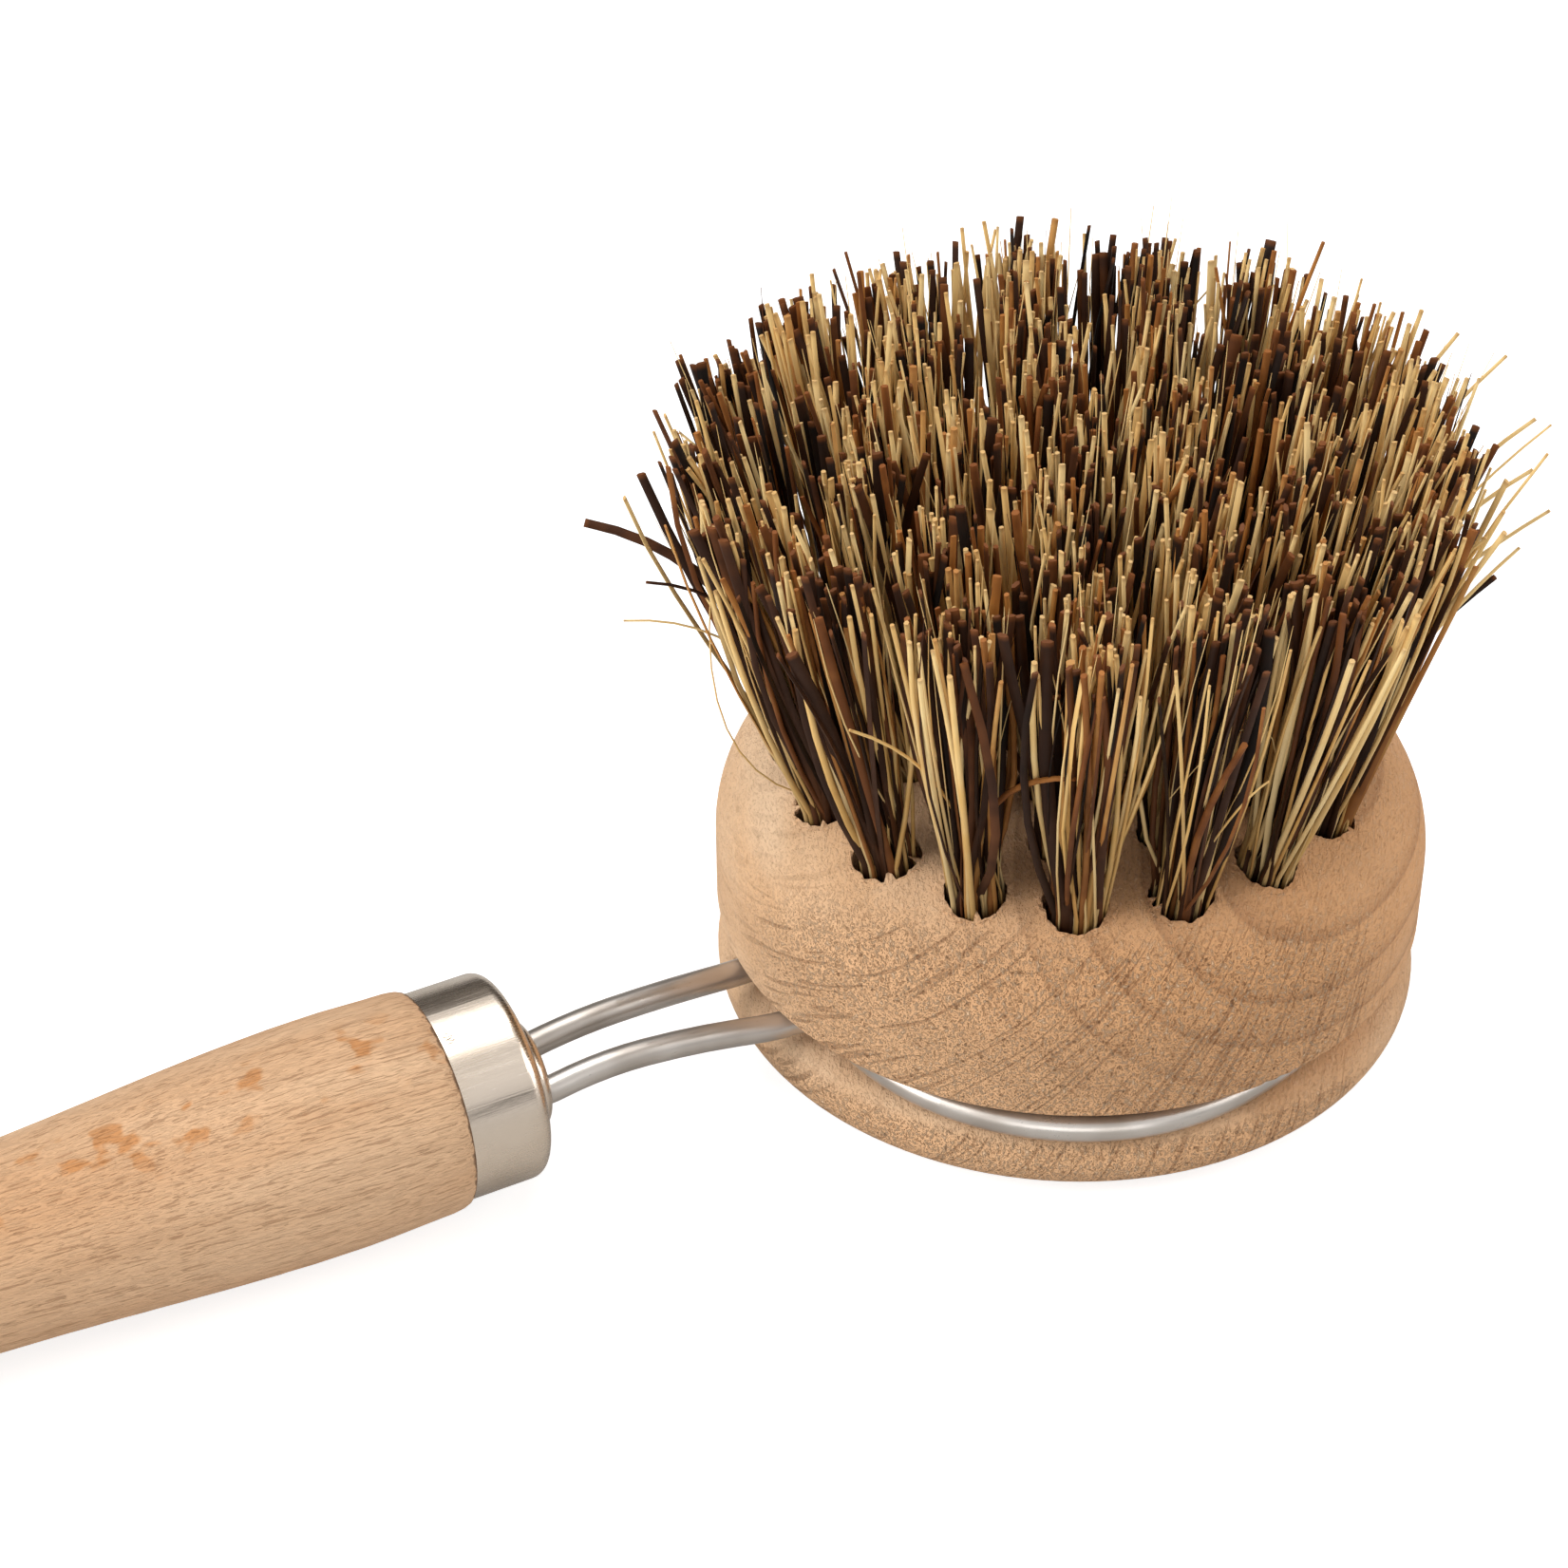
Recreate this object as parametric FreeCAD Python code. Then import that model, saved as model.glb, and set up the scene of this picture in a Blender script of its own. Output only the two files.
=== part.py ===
import FreeCAD, Part
import math
import os

os.makedirs("parts", exist_ok=True)

# A round wooden dish brush with an exchangeable head, in millimetres.
# The head stands on its back at the origin with the bristles up along +Z.
# A wire bow runs round a groove in the head, and its two legs lie side by side
# in the handle, which points along -X. The head turns in the bow about Z.

# Head block, turned from one piece of beech
head_radius = 25.0
foot_thickness = 3.9            # rounded foot below the groove
body_height = 13.5              # barrel above the groove
shoulder_radius = 8.0           # big rounding towards the bristle face
lower_edge_radius = 0.35        # softened edge of the barrel at the groove

# Wire bow and the groove it runs in
wire_diameter = 1.9
wire_inset = 0.0                # outer side of the wire inside the head's rim, where it stands out furthest
play_below_wire = 0.3
play_above_wire = 0.8
play_behind_wire = 0.3
play_above_legs = 0.15          # where they pass out under the barrel
bulge_angle = 63.0              # from the handle round to where the wire stands out furthest
rest_angle = 118.0              # from the handle round to where it comes to lie along the groove's floor
tuck_depth = 2.7                # how far it draws in from the bulge before it turns out into a leg
leg_bend_radius = 2.5           # of that turn, at the middle of the wire
leg_spread_at_head = 3.2        # half distance between the legs under the head's rim
leg_spread_in_handle = 2.3      # half distance between the legs inside the handle
leg_clear_of_rim = 3.0          # head rim to where the legs begin their arch
leg_slope_at_head = 8.5         # climb of the legs there, in degrees
leg_toe_in = 5.0                # how the legs draw together there, in degrees
leg_dip_at_boss = 11.0          # fall of the arched legs towards the handle, in degrees
leg_mouth_radius = 4.0          # of the bend from that fall into the handle's direction
leg_drop = 0.55                 # legs and boss below the handle's axis
leg_depth_in_handle = 22.0

# Bristle tufts, one in the middle and the rest in rings round it
hole_diameter = 4.9
hole_depth = 11.0
rim_to_holes = 6.2              # head rim to the centres of the outer ring's holes
wall_in_ring = 1.9              # least wood between neighbours of one ring
wall_between_rings = 1.1        # least wood between one ring and the next
outer_lean = 11.0               # outward lean of the outer ring's tufts, in degrees
first_tuft_angle = 7.0          # turn of each ring's first tuft from the X axis, in degrees
bristle_length = 24.5           # bristle face to the trimmed tips
tuft_gap = 0.3                  # between neighbouring tufts at their tips
tuft_clearance = 0.15           # tuft root inside its hole

# Anchors: short flat wires on which the bundles are folded, deep in the holes
anchor_thickness = 0.5
anchor_height = 2.0
anchor_end_clearance = 0.4
anchor_slot_clearance = 0.15

# Ferrule: drawn sheet-metal cap on the front of the handle
ferrule_radius = 7.25
ferrule_length = 5.75
ferrule_wall = 0.5
ferrule_rim_radius = 1.0
boss_step = 3.35                # from the cap's radius down to that of the raised boss round the two legs
boss_height = 1.55
boss_rim_radius = 0.8
ferrule_gap = 17.0              # head rim to the boss
ferrule_clearance = 0.1         # spigot inside the cap
leg_clearance = 0.1             # wire legs in their holes

# Handle, turned from one piece of beech: distances run back from the ferrule's front rim
handle_axis_height = 6.9
handle_length = 171.45
neck_round = 2.2                # rounding of the wood behind the ferrule
neck_bulge = 0.4                # how far the wood stands out past the ferrule there
swell_at = 12.45
swell_radius = 7.88
taper_at = 30.45
taper_radius = 6.9
waist_at = 56.45
waist_radius = 5.95
belly_at = 118.45
belly_radius = 8.0
tail_radius = 6.6
tail_round = 9.0                # length of the domed end
hanging_hole_diameter = 6.0
hanging_hole_from_end = 14.0

# Levels and radii that follow from the sizes above
wire_radius = wire_diameter / 2
wire_level = foot_thickness + play_below_wire + wire_radius
barrel_bottom = wire_level + wire_radius + play_above_wire
leg_level = barrel_bottom - play_above_legs - wire_radius
face_level = barrel_bottom + body_height
trim_level = face_level + bristle_length
bulge_radius = head_radius - wire_inset - wire_radius
tuck_end_x = -(bulge_radius - tuck_depth)
tuck_end_y = leg_spread_at_head + leg_bend_radius
rest_radius = math.hypot(tuck_end_x, tuck_end_y)
groove_floor_radius = rest_radius - wire_radius - play_behind_wire
boss_radius = ferrule_radius - boss_step
boss_front = -(head_radius + ferrule_gap)
ferrule_front = boss_front - boss_height
ferrule_back = ferrule_front - ferrule_length
spigot_front = ferrule_front - ferrule_wall
spigot_radius = ferrule_radius - ferrule_wall - ferrule_clearance
seat_radius = ferrule_radius + ferrule_clearance
neck_radius = seat_radius + neck_bulge
handle_end = ferrule_front - handle_length
leg_end = ferrule_front - leg_depth_in_handle
leg_height = handle_axis_height - leg_drop

# Rings of tufts: as many rings, and holes in each, as the walls between them leave room for
outer_ring_radius = head_radius - rim_to_holes
ring_count = int(outer_ring_radius // (hole_diameter + wall_between_rings))
ring_step = outer_ring_radius / ring_count
lean_step = outer_lean / ring_count

ORIGIN = FreeCAD.Vector(0, 0, 0)
X_AXIS = FreeCAD.Vector(1, 0, 0)
Y_AXIS = FreeCAD.Vector(0, 1, 0)
Z_AXIS = FreeCAD.Vector(0, 0, 1)
ROUND_POLE = 0.5523             # pole distance that makes a cubic curve follow a quarter ellipse


def save(shape, name):
    """Write one named piece of the brush."""
    shape.exportStep("parts/" + name + ".step")
    print(name, round(shape.Volume, 2), "mm3", len(shape.Solids), "solid(s)")


def line(start, end):
    return Part.LineSegment(start, end).toShape()


def round_corner(start, middle, end):
    return Part.Arc(start, middle, end).toShape()


def turned(edges, axis):
    """Solid of revolution of a closed outline about an axis through the origin."""
    face = Part.Face(Part.Wire(Part.__sortEdges__(edges)))
    return face.revolve(ORIGIN, axis, 360)


def quarter_arc(centre, radius, from_angle, to_angle, place):
    """Arc of a turned outline; place(along, out) gives the outline's point."""
    points = []
    for angle in (from_angle, (from_angle + to_angle) / 2, to_angle):
        turn = math.radians(angle)
        points.append(place(centre[0] + radius * math.cos(turn), centre[1] + radius * math.sin(turn)))
    return round_corner(*points)


def head_point(out, up):
    """Point of the head's outline: distance from the head's axis, then height."""
    return FreeCAD.Vector(out, 0, up)


def handle_point(along, out):
    """Point of the handle's outline, drawn about the X axis: place along X, then radius."""
    return FreeCAD.Vector(along, 0, out)


def make_foot():
    half = foot_thickness / 2
    flat_radius = head_radius - half
    return turned([
        line(head_point(0, 0), head_point(flat_radius, 0)),
        quarter_arc((flat_radius, half), half, -90, 90, head_point),
        line(head_point(flat_radius, foot_thickness), head_point(0, foot_thickness)),
        line(head_point(0, foot_thickness), head_point(0, 0)),
    ], Z_AXIS)


def make_barrel():
    edge = lower_edge_radius
    crown = min(shoulder_radius, body_height - edge)
    return turned([
        line(head_point(0, barrel_bottom), head_point(head_radius - edge, barrel_bottom)),
        quarter_arc((head_radius - edge, barrel_bottom + edge), edge, -90, 0, head_point),
        line(head_point(head_radius, barrel_bottom + edge), head_point(head_radius, face_level - crown)),
        quarter_arc((head_radius - crown, face_level - crown), crown, 0, 90, head_point),
        line(head_point(head_radius - crown, face_level), head_point(0, face_level)),
        line(head_point(0, face_level), head_point(0, barrel_bottom)),
    ], Z_AXIS)


def make_groove_core():
    start = foot_thickness / 2
    return Part.makeCylinder(groove_floor_radius, barrel_bottom - start, FreeCAD.Vector(0, 0, start), Z_AXIS)


def ring_size(ring):
    """Number of tufts in a ring; ring 0 is the single one in the middle."""
    if ring == 0:
        return 1
    return int(2 * math.pi * ring * ring_step // (hole_diameter + wall_in_ring))


def tip_ring_radius(ring):
    """Radius of a ring at the trimmed tips, where the leaning tufts have moved apart."""
    return ring * ring_step + bristle_length * math.tan(math.radians(ring * lean_step))


def spread_radius(ring):
    """Radius of a tuft at its tips: half the way to its nearest neighbour, less half the gap."""
    reach = [(tip_ring_radius(other) - tip_ring_radius(other - 1)) / 2
             for other in (ring, ring + 1) if 1 <= other <= ring_count]
    if ring > 0:
        reach.append(tip_ring_radius(ring) * math.sin(math.pi / ring_size(ring)))
    return min(reach) - tuft_gap / 2


def tuft_places():
    """Name, ring and placement of every tuft; a tuft's own Z runs out along its bristles."""
    places = []
    for ring in range(ring_count + 1):
        lean_out = FreeCAD.Rotation(Y_AXIS, ring * lean_step)
        for number in range(ring_size(ring)):
            round_head = FreeCAD.Rotation(Z_AXIS, first_tuft_angle + 360.0 * number / ring_size(ring))
            mouth = round_head.multVec(FreeCAD.Vector(ring * ring_step, 0, face_level))
            place = FreeCAD.Placement(mouth, round_head.multiply(lean_out))
            name = f"tuft_ring_{ring}_{number + 1:02d}" if ring else "tuft_centre"
            places.append((name, ring, place))
    return places


def put(shape, placement):
    """Copy of a shape drawn in a tuft's own frame, at that tuft's place."""
    return shape.transformed(placement.toMatrix(), True)


def make_hole():
    reach = hole_depth + head_radius
    return Part.makeCylinder(hole_diameter / 2, reach, FreeCAD.Vector(0, 0, -hole_depth), Z_AXIS)


def anchor_box(growth):
    """Flat anchor on the floor of a hole, grown all round to make its slot."""
    length = hole_diameter - 2 * anchor_end_clearance + 2 * growth
    thickness = anchor_thickness + 2 * growth
    corner = FreeCAD.Vector(-thickness / 2, -length / 2, -hole_depth)
    return Part.makeBox(thickness, length, anchor_height + growth, corner)


def make_tuft(ring):
    """Bundle in its hole, folded over the anchor, then spreading in a cone past the trimmed tips."""
    root_radius = hole_diameter / 2 - tuft_clearance
    slope = (spread_radius(ring) - root_radius) / bristle_length
    cone_length = 1.4 * bristle_length
    root = Part.makeCylinder(root_radius, hole_depth, FreeCAD.Vector(0, 0, -hole_depth), Z_AXIS)
    cone = Part.makeCone(root_radius, root_radius + slope * cone_length, cone_length)
    return root.fuse(cone).removeSplitter().cut(anchor_box(anchor_slot_clearance))


def make_trim():
    """Everything above the plane that the bristles are trimmed to."""
    size = 4 * (head_radius + bristle_length)
    return Part.makeBox(size, size, size, FreeCAD.Vector(-size / 2, -size / 2, trim_level))


def unit(vector):
    return FreeCAD.Vector(vector).normalize()


def tangent_arc(start, direction, end):
    """Arc from start to end that leaves start along a direction."""
    chord = end - start
    sideways = direction - unit(chord) * direction.dot(unit(chord))
    if sideways.Length < 1e-9:
        return line(start, end)
    bulge = chord.Length / 2 * math.tan(direction.getAngle(chord) / 2)
    return round_corner(start, (start + end) * 0.5 + unit(sideways) * bulge, end)


def bend(start, start_direction, end, end_direction):
    """Two arcs, tangent to each other, that leave start and reach end along the given directions."""
    span = end - start
    both = span.dot(start_direction + end_direction)
    turn = 2 * (1 - start_direction.dot(end_direction))
    reach = span.dot(span) / (both + math.sqrt(both ** 2 + turn * span.dot(span)))
    before = start + start_direction * reach
    after = end - end_direction * reach
    meeting = (before + after) * 0.5
    return [tangent_arc(start, start_direction, meeting), tangent_arc(meeting, unit(after - before), end)]


def ring_point(radius, angle, side):
    """Point of the bow in the groove, at an angle from the handle's direction, on one side."""
    turn = math.radians(angle)
    return FreeCAD.Vector(-radius * math.cos(turn), side * radius * math.sin(turn), wire_level)


def ring_direction(angle, side):
    """Direction round the groove towards the handle."""
    turn = math.radians(angle)
    return FreeCAD.Vector(-math.sin(turn), -side * math.cos(turn), 0)


def ring_path(side):
    """One half of the bow in the groove: along the floor from the far point, then out to the bulge."""
    far_point = ring_point(rest_radius, 180, side)
    middle = ring_point(rest_radius, (180 + rest_angle) / 2, side)
    rest = ring_point(rest_radius, rest_angle, side)
    bulge = ring_point(bulge_radius, bulge_angle, side)
    way_to_bulge = bend(rest, ring_direction(rest_angle, side), bulge, ring_direction(bulge_angle, side))
    return [round_corner(far_point, middle, rest)] + way_to_bulge


def leg_path(side):
    """One end of the bow: drawn in from the bulge, turned out of the groove, and arched into the handle."""
    outward = X_AXIS * -1
    inward = Y_AXIS * -side
    draw = math.tan(math.radians(leg_toe_in))
    slope = math.tan(math.radians(leg_slope_at_head))
    dip = math.radians(leg_dip_at_boss)
    bulge = ring_point(bulge_radius, bulge_angle, side)
    tuck_end = FreeCAD.Vector(tuck_end_x, side * tuck_end_y, leg_level)
    turn_middle = tuck_end + outward * (leg_bend_radius * (1 - math.cos(math.pi / 4)))
    turn_middle += inward * (leg_bend_radius * math.sin(math.pi / 4))
    turn_end = tuck_end + outward * leg_bend_radius + inward * leg_bend_radius
    leave = FreeCAD.Vector(-(head_radius + leg_clear_of_rim), side * leg_spread_at_head, leg_level)
    leave += (inward * draw + Z_AXIS * slope) * leg_clear_of_rim
    leave_direction = unit(outward + inward * draw + Z_AXIS * slope)
    enter = FreeCAD.Vector(boss_front, side * leg_spread_in_handle, leg_height)
    tip = FreeCAD.Vector(leg_end, enter.y, enter.z)

    def mouth_point(turn):
        """Point of the bend in front of the boss, at a turn back from the handle's direction."""
        return enter + (X_AXIS * math.sin(turn) + Z_AXIS * (1 - math.cos(turn))) * leg_mouth_radius

    dip_direction = outward * math.cos(dip) - Z_AXIS * math.sin(dip)
    tuck = bend(bulge, ring_direction(bulge_angle, side), tuck_end, inward)
    turn = [round_corner(tuck_end, turn_middle, turn_end)]
    way_out = bend(turn_end, outward, leave, leave_direction)
    arch = bend(leave, leave_direction, mouth_point(dip), dip_direction)
    mouth = [round_corner(mouth_point(dip), mouth_point(dip / 2), enter)]
    return tuck + turn + way_out + arch + mouth + [line(enter, tip)]


def make_wire_bow():
    ring = ring_path(1) + ring_path(-1)
    path = Part.Wire(Part.__sortEdges__(leg_path(1) + ring + leg_path(-1)))
    first_tip = FreeCAD.Vector(leg_end, leg_spread_in_handle, leg_height)
    section = Part.Wire(Part.makeCircle(wire_radius, first_tip, X_AXIS))
    bow = path.makePipeShell([section], True, False)
    print("bow volume against section times length:", round(bow.Volume, 3),
          round(math.pi * wire_radius ** 2 * path.Length, 3))
    arcs = [edge.Curve for edge in path.Edges if isinstance(edge.Curve, Part.Circle)]
    print("bow bend radii:", [round(arc.Radius, 1) for arc in arcs])
    return bow


def leg_hole(side, deepest):
    """Hole for one leg, from in front of the ferrule to its deepest point."""
    start = FreeCAD.Vector(boss_front + wire_diameter, side * leg_spread_in_handle, leg_height)
    return Part.makeCylinder(wire_radius + leg_clearance, start.x - deepest, start, X_AXIS * -1)


def raised_to_axis(shape):
    """Turned pieces of the handle are drawn about the X axis and lifted to the handle's height."""
    return shape.translated(Z_AXIS * handle_axis_height)


def make_boss():
    """Raised boss round the two legs, hollow behind its front."""
    edge = boss_rim_radius
    outside = turned([
        line(handle_point(spigot_front, 0), handle_point(spigot_front, boss_radius)),
        line(handle_point(spigot_front, boss_radius), handle_point(boss_front - edge, boss_radius)),
        quarter_arc((boss_front - edge, boss_radius - edge), edge, 0, 90, handle_point),
        line(handle_point(boss_front, boss_radius - edge), handle_point(boss_front, 0)),
        line(handle_point(boss_front, 0), handle_point(spigot_front, 0)),
    ], X_AXIS)
    hollow_start = FreeCAD.Vector(spigot_front - ferrule_wall, 0, 0)
    hollow = Part.makeCylinder(boss_radius - ferrule_wall, boss_height + ferrule_wall, hollow_start, X_AXIS)
    return outside.translated(Z_AXIS * leg_height), hollow.translated(Z_AXIS * leg_height)


def make_ferrule():
    """Drawn cap: side wall, rounded rim, front and raised boss, all of one sheet."""
    rim = ferrule_rim_radius
    inner = ferrule_radius - ferrule_wall
    cap = turned([
        line(handle_point(ferrule_back, inner), handle_point(ferrule_back, ferrule_radius)),
        line(handle_point(ferrule_back, ferrule_radius), handle_point(ferrule_front - rim, ferrule_radius)),
        quarter_arc((ferrule_front - rim, ferrule_radius - rim), rim, 0, 90, handle_point),
        line(handle_point(ferrule_front, ferrule_radius - rim), handle_point(ferrule_front, 0)),
        line(handle_point(ferrule_front, 0), handle_point(spigot_front, 0)),
        line(handle_point(spigot_front, 0), handle_point(spigot_front, inner)),
        line(handle_point(spigot_front, inner), handle_point(ferrule_back, inner)),
    ], X_AXIS)
    boss, boss_hollow = make_boss()
    cap = raised_to_axis(cap).fuse(boss).cut(boss_hollow)
    for side in (1, -1):
        cap = cap.cut(leg_hole(side, ferrule_back))
    return cap.removeSplitter()


def make_handle():
    """Turned grip: spigot in the ferrule, rounded neck, swell, waist, belly and domed tail."""
    neck_start = handle_point(ferrule_back, seat_radius)
    neck_end = handle_point(ferrule_back - neck_round, neck_radius)
    neck = Part.BezierCurve()
    neck.setPoles([neck_start, handle_point(ferrule_back, neck_radius), neck_end])
    dome_start = handle_point(handle_end + tail_round, tail_radius)
    grip = Part.BSplineCurve()
    grip.interpolate([
        neck_end,
        handle_point(ferrule_front - swell_at, swell_radius),
        handle_point(ferrule_front - taper_at, taper_radius),
        handle_point(ferrule_front - waist_at, waist_radius),
        handle_point(ferrule_front - belly_at, belly_radius),
        dome_start,
    ])
    grip_direction = grip.tangent(grip.LastParameter)[0]
    dome = Part.BezierCurve()
    dome.setPoles([
        dome_start,
        dome_start + grip_direction * (ROUND_POLE * tail_round),
        handle_point(handle_end, ROUND_POLE * tail_radius),
        handle_point(handle_end, 0),
    ])
    grip_solid = turned([
        line(handle_point(handle_end, 0), handle_point(spigot_front, 0)),
        line(handle_point(spigot_front, 0), handle_point(spigot_front, spigot_radius)),
        line(handle_point(spigot_front, spigot_radius), handle_point(ferrule_back, spigot_radius)),
        line(handle_point(ferrule_back, spigot_radius), neck_start),
        neck.toShape(),
        grip.toShape(),
        dome.toShape(),
    ], X_AXIS)
    grip_solid = raised_to_axis(grip_solid)
    for side in (1, -1):
        grip_solid = grip_solid.cut(leg_hole(side, leg_end - leg_clearance))
    hole_start = FreeCAD.Vector(handle_end + hanging_hole_from_end, 0, handle_axis_height - 2 * belly_radius)
    return grip_solid.cut(Part.makeCylinder(hanging_hole_diameter / 2, 4 * belly_radius, hole_start, Z_AXIS))


places = tuft_places()
hole = make_hole()
trim = make_trim()

head_block = make_foot().fuse([make_groove_core(), make_barrel()]).removeSplitter()
head_block = head_block.cut([put(hole, place) for name, ring, place in places])
save(head_block, "head_block")

for name, ring, place in places:
    save(put(make_tuft(ring), place).cut(trim), name)

save(Part.makeCompound([put(anchor_box(0), place) for name, ring, place in places]), "tuft_anchors")
save(make_wire_bow(), "wire_bow")
save(make_ferrule(), "ferrule")
save(make_handle(), "handle")
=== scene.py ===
import math
import random

import bpy
from mathutils import Euler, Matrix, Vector


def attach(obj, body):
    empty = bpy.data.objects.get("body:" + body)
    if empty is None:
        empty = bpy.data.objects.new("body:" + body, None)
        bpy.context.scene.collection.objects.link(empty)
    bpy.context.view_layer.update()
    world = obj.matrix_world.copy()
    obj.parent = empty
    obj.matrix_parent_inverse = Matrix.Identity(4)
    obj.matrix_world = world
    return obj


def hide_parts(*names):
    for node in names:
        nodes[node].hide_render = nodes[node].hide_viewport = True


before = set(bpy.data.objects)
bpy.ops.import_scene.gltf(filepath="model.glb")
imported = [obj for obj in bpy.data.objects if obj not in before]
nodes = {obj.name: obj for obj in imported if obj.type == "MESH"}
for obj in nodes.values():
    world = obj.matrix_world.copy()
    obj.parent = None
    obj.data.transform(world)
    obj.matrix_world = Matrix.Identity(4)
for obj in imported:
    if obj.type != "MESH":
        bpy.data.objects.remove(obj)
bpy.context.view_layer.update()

mm = 0.001
random.seed(20)


# Sizes repeated from the part's source

face_level = 20.4 * mm
trim_level = 44.9 * mm
tuft_ring_step = 18.8 / 3 * mm
tuft_ring_counts = (5, 11, 17)
lean_step = math.radians(11 / 3)
first_tuft_angle = math.radians(7)
tuft_root_radius = 2.05 * mm
hole_radius = 2.45 * mm
shoulder_radius = 8 * mm
shoulder_start = 17 * mm
ferrule_back = -49.3 * mm


# Node helpers

# A Mix node has sockets of the same names for each kind of value, so those for colours go by number
mix_first = 6
mix_second = 7
mix_result = 2


def feed(tree, value, socket):
    """Links a socket, or sets a plain value."""
    if isinstance(value, bpy.types.NodeSocket):
        tree.links.new(value, socket)
    else:
        socket.default_value = value


def place(tree, kind, inputs=None, **settings):
    """Adds a shader node with its settings and inputs."""
    node = tree.nodes.new("ShaderNode" + kind)
    for name, value in settings.items():
        setattr(node, name, value)
    for name, value in (inputs or {}).items():
        feed(tree, value, node.inputs[name])
    return node


def reckon(tree, operation, *values):
    """One Math node; returns its value."""
    return place(tree, "Math", dict(enumerate(values)), operation=operation).outputs["Value"]


def reckon_vector(tree, operation, first, second):
    """One Vector Math node; returns its vector."""
    return place(tree, "VectorMath", {0: first, 1: second}, operation=operation).outputs["Vector"]


def enlarge(tree, vector, factor):
    """Multiplies a vector by one number."""
    return place(tree, "VectorMath", {0: vector, "Scale": factor}, operation="SCALE").outputs["Vector"]


def stretch(tree, vector, sizes):
    """Divides a position by a feature size along each axis."""
    return reckon_vector(tree, "MULTIPLY", vector, tuple(1 / size for size in sizes))


def noise(tree, vector, detail=1.0, roughness=0.5):
    """Noise with features of about one unit."""
    inputs = {"Vector": vector, "Scale": 1.0, "Detail": detail, "Roughness": roughness}
    return place(tree, "TexNoise", inputs).outputs["Fac"]


def between(tree, value, low, high, out_low=0.0, out_high=1.0):
    """Maps low..high to out_low..out_high, clamped and smooth."""
    inputs = {"Value": value, "From Min": low, "From Max": high, "To Min": out_low, "To Max": out_high}
    return place(tree, "MapRange", inputs, interpolation_type="SMOOTHSTEP").outputs["Result"]


def blend_colours(tree, share, first, second):
    """Mixes two colours; the share is the second one's."""
    node = place(tree, "Mix", data_type="RGBA")
    feed(tree, share, node.inputs["Factor"])
    feed(tree, first, node.inputs[mix_first])
    feed(tree, second, node.inputs[mix_second])
    return node.outputs[mix_result]


def shade(red, green, blue):
    """A colour given in screen values of 0 to 255."""
    def linear(part):
        part = part / 255
        return part / 12.92 if part <= 0.04045 else ((part + 0.055) / 1.055) ** 2.4
    return (linear(red), linear(green), linear(blue), 1.0)


def new_group(name, inputs, outputs):
    """A shader node group; returns its tree, its input node's sockets and its output node's."""
    tree = bpy.data.node_groups.new(name, "ShaderNodeTree")
    for label, kind in inputs:
        tree.interface.new_socket(name=label, in_out="INPUT", socket_type="NodeSocket" + kind)
    for label, kind in outputs:
        tree.interface.new_socket(name=label, in_out="OUTPUT", socket_type="NodeSocket" + kind)
    return tree, tree.nodes.new("NodeGroupInput").outputs, tree.nodes.new("NodeGroupOutput").inputs


def new_material(name):
    """A material with no nodes yet; returns it and its tree."""
    material = bpy.data.materials.new(name)
    material.use_nodes = True
    material.node_tree.nodes.clear()
    return material, material.node_tree


def finish_material(tree, inputs, height=None, bump_strength=0.0, bump_distance=0.0):
    """Adds the Principled shader, with a bump where a height is given."""
    shader = place(tree, "BsdfPrincipled", inputs)
    if height is not None:
        bump = place(tree, "Bump", {"Height": height, "Strength": bump_strength, "Distance": bump_distance})
        tree.links.new(bump.outputs["Normal"], shader.inputs["Normal"])
    output = place(tree, "OutputMaterial")
    tree.links.new(shader.outputs["BSDF"], output.inputs["Surface"])


# Beech: growth rings round the pith, rays running out from it, pores along the fibre

# Sizes of what all beech shares, along the fibre and across it
drift_size = (60 * mm, 14 * mm, 14 * mm)
cloud_size = (40 * mm, 8 * mm, 8 * mm)
pit_size = (0.45 * mm, 0.36 * mm, 0.36 * mm)
fan_radius = 30 * mm                # from the pith to where a turn round it counts as its true length
late_wood_power = 5.0               # how narrow the dark late wood of a year is
crumb_share = 0.7
side_grain_share = 0.3              # of the end grain's roughness
darkest_pore = 0.42
pit_colour = shade(98, 58, 32)
wood_relief = 0.3 * mm

# Dirt in the joint between the wood and the metal
seam_crumb = (0.6 * mm, 0.6 * mm, 0.6 * mm)
seam_reach = (0.12 * mm, 0.45 * mm)
seam_stain = shade(74, 48, 30)


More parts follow.
